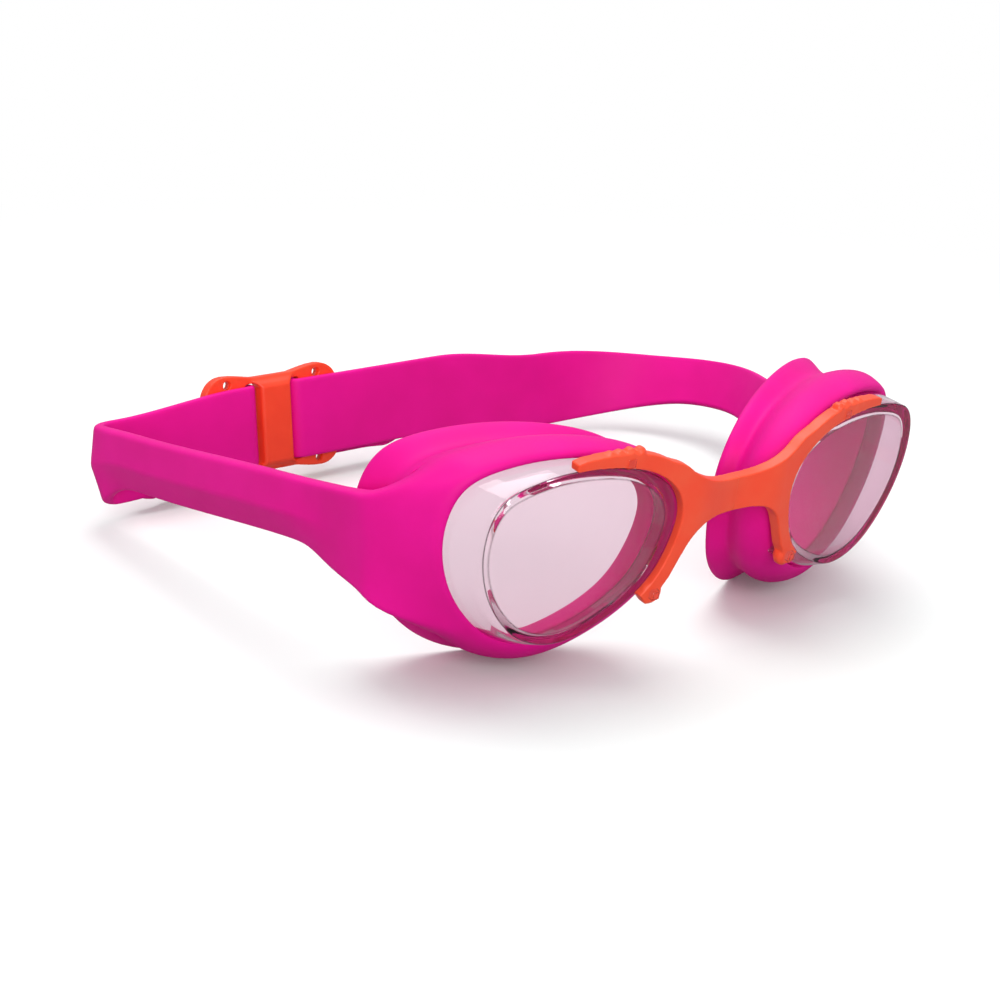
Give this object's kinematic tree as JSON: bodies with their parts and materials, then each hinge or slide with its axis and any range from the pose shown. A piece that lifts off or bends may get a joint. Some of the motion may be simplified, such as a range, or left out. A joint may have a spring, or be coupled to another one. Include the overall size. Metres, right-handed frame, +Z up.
{
  "type": "sports protective goggles",
  "caption": "Swimming goggles: clear lensed silicone eyecups on a clip-in nose bridge, with a flat silicone head strap folded through a slotted rear buckle.",
  "frame": {"origin": "on the ground under the middle of the goggles' outer box, as they stand on both eyecups and the buckle", "axes": "+Z up; -Y is the way the lenses look; +X to the wearer's left"},
  "size_m": [0.1674, 0.14, 0.0483],
  "materials": {
    "silicone": "satin magenta silicone rubber",
    "lens": "clear polycarbonate with a pale pink tint",
    "bridge": "satin orange moulded plastic",
    "buckle": "satin orange moulded plastic"
  },
  "bodies": {
    "bridge_and_strap": {"nose_bridge": "bridge", "left_strap_side": "silicone", "left_strap_corner": "silicone", "left_strap_back": "silicone", "right_strap_side": "silicone", "right_strap_corner": "silicone", "right_strap_back": "silicone"},
    "right_cup": {"right_lens": "lens", "right_skirt": "silicone"},
    "left_cup": {"left_lens": "lens", "left_skirt": "silicone"},
    "buckle": {"buckle": "buckle", "left_strap_fold": "silicone", "right_strap_fold": "silicone", "left_tail_run": "silicone", "right_tail_run": "silicone"},
    "left_tail": {"left_tail_end": "silicone"},
    "right_tail": {"right_tail_end": "silicone"}
  },
  "joints": [
    {"name": "right_cup_flex", "type": "hinge", "parent": "bridge_and_strap", "child": "right_cup", "pos_m": [-0.02526, -0.06661, 0.03336], "axis": [0, -0.1183, -0.993], "range_deg": [-8, 8], "stiffness_Nm_per_rad": 0.6, "deforming": ["nose_bridge", "right_strap_side"]},
    {"name": "left_cup_flex", "type": "hinge", "parent": "bridge_and_strap", "child": "left_cup", "pos_m": [-0.01126, -0.06661, 0.03336], "axis": [0, 0.1183, 0.993], "range_deg": [-8, 8], "stiffness_Nm_per_rad": 0.6, "deforming": ["nose_bridge", "left_strap_side"]},
    {"name": "buckle_slide", "type": "slide", "parent": "bridge_and_strap", "child": "buckle", "axis": [1, 0, 0], "range_m": [-0.008, 0.008], "deforming": ["left_strap_back", "right_strap_back"]},
    {"name": "left_tail_feed", "type": "slide", "parent": "buckle", "child": "left_tail", "axis": [1, 0, 0], "range_m": [-0.008, 0.008], "deforming": ["left_tail_run"]},
    {"name": "right_tail_feed", "type": "slide", "parent": "buckle", "child": "right_tail", "axis": [1, 0, 0], "range_m": [-0.008, 0.008], "deforming": ["right_tail_run"]}
  ],
  "couplings": [
    {"joint": "left_tail_feed", "follows": "buckle_slide", "ratio": 1},
    {"joint": "right_tail_feed", "follows": "buckle_slide", "ratio": 1}
  ]
}
